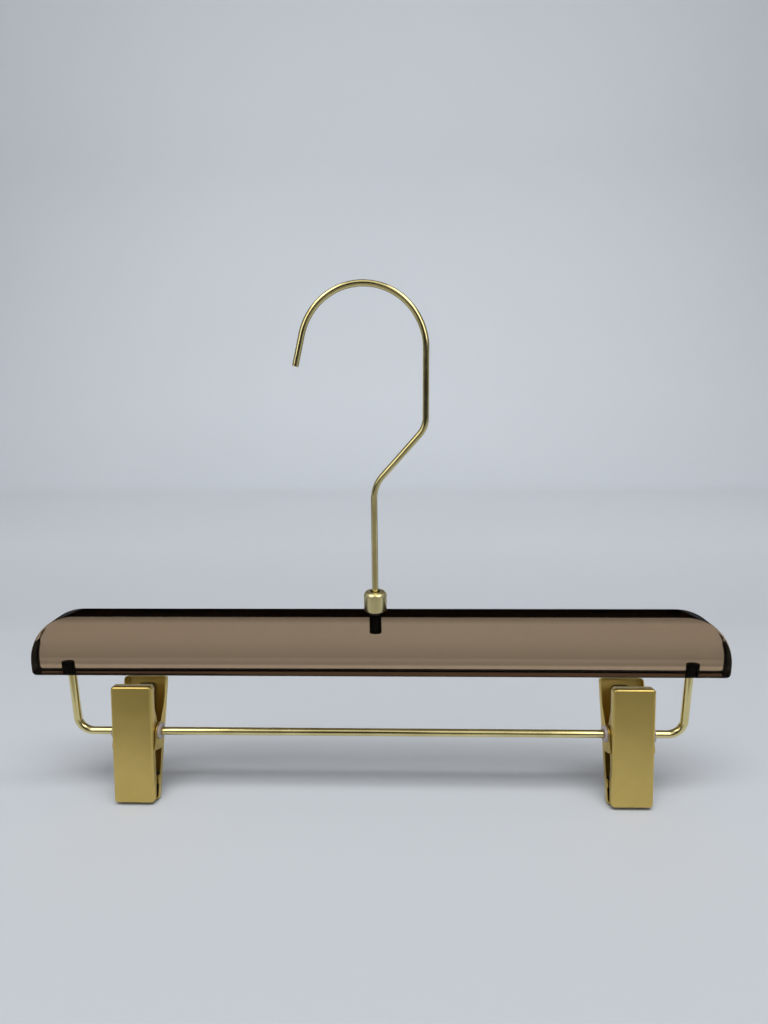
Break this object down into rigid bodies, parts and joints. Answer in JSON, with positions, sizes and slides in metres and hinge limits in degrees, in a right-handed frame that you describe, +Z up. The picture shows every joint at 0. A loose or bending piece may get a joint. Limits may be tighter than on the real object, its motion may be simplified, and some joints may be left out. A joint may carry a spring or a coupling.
{
  "type": "trouser hanger",
  "caption": "Clear smoke-tinted acrylic trouser hanger with a swivelling gold wire hook and sprung sheet-metal clips that slide on a wire rail.",
  "frame": {"origin": "the point inside the top of the hook's loop that rests on a clothes rail", "axes": "+Z up, +X along the bar to the right as seen from the front, and the front looks to -Y"},
  "size_m": [0.35, 0.0302, 0.2587],
  "materials": {
    "smoke_acrylic": "polished, clear with a brown-grey tint",
    "satin_brass": "satin",
    "dark_steel": "dark",
    "gold_wire": "bright pale-gold plating",
    "dark_sleeve": "matt",
    "gold_sheet": "satin pale-gold plating",
    "spring_steel": "oiled",
    "clear_bush": "translucent",
    "grip_rubber": "matt"
  },
  "bodies": {
    "hook": {"hook": "gold_wire"},
    "bar": {"acrylic_bar": "smoke_acrylic", "collar": "satin_brass", "hook_stud": "dark_steel", "hook_washer": "satin_brass", "rail": "gold_wire", "left_leg_sleeve": "dark_sleeve", "right_leg_sleeve": "dark_sleeve"},
    "left_bushes": {"left_inner_bush": "clear_bush", "left_outer_bush": "clear_bush"},
    "left_back": {"left_back_jaw": "gold_sheet", "left_spring": "spring_steel", "left_back_pad": "grip_rubber"},
    "left_front": {"left_front_jaw": "gold_sheet", "left_front_pad": "grip_rubber"},
    "right_bushes": {"right_inner_bush": "clear_bush", "right_outer_bush": "clear_bush"},
    "right_back": {"right_back_jaw": "gold_sheet", "right_spring": "spring_steel", "right_back_pad": "grip_rubber"},
    "right_front": {"right_front_jaw": "gold_sheet", "right_front_pad": "grip_rubber"}
  },
  "joints": [
    {"name": "hook_swivel", "type": "hinge", "parent": "hook", "child": "bar", "pos_m": [0.0041, 0, -0.146], "axis": [0, 0, 1], "continuous": true},
    {"name": "left_clip_slide", "type": "slide", "parent": "bar", "child": "left_bushes", "axis": [1, 0, 0], "range_m": [-0.0105, 0.109]},
    {"name": "left_clip_swing", "type": "hinge", "parent": "left_bushes", "child": "left_back", "pos_m": [-0.1219, 0, -0.2203], "axis": [-1, 0, 0], "range_deg": [-160, 120]},
    {"name": "left_jaw_open", "type": "hinge", "parent": "left_back", "child": "left_front", "pos_m": [-0.1219, 0, -0.2203], "axis": [-1, 0, 0], "range_deg": [0, 25], "stiffness_Nm_per_rad": 0.14, "springref_deg": -80.21, "deforming": ["left_spring"]},
    {"name": "right_clip_slide", "type": "slide", "parent": "bar", "child": "right_bushes", "axis": [1, 0, 0], "range_m": [-0.113, 0.0068]},
    {"name": "right_clip_swing", "type": "hinge", "parent": "right_bushes", "child": "right_back", "pos_m": [0.1338, 0, -0.2203], "axis": [-1, 0, 0], "range_deg": [-160, 120]},
    {"name": "right_jaw_open", "type": "hinge", "parent": "right_back", "child": "right_front", "pos_m": [0.1338, 0, -0.2203], "axis": [-1, 0, 0], "range_deg": [0, 25], "stiffness_Nm_per_rad": 0.14, "springref_deg": -80.21, "deforming": ["right_spring"]}
  ]
}
